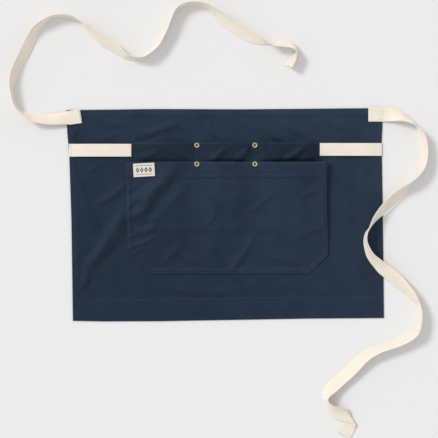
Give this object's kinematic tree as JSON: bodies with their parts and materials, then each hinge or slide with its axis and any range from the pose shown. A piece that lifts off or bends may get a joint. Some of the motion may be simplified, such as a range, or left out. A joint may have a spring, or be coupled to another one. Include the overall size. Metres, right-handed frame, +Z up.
{
  "type": "waist apron with tool pockets",
  "caption": "Canvas waist apron lying flat, with layered patch pockets, tape tool loops, brass rivets and long cotton webbing ties.",
  "frame": {"origin": "under the middle of the apron's panel, on the floor that it lies on", "axes": "+Z up out of the apron's front face, +Y to its waist edge, +X to the right as its front is seen"},
  "size_m": [0.757, 0.7923, 0.0277],
  "materials": {
    "canvas": "navy cotton canvas, plain weave, matt",
    "webbing": "natural cotton webbing, twill weave, matt",
    "label": "woven label, fine weave, matt",
    "brass": "aged brass, satin"
  },
  "bodies": {
    "root": {"body_panel": "canvas", "rear_pocket": "canvas", "front_pocket": "canvas", "left_tool_loop": "webbing", "right_tool_loop": "webbing", "left_tie": "webbing", "right_tie": "webbing", "label": "label", "rivet_rear_left": "brass", "rivet_rear_right": "brass", "rivet_front_left": "brass", "rivet_front_right": "brass"}
  },
  "joints": []
}
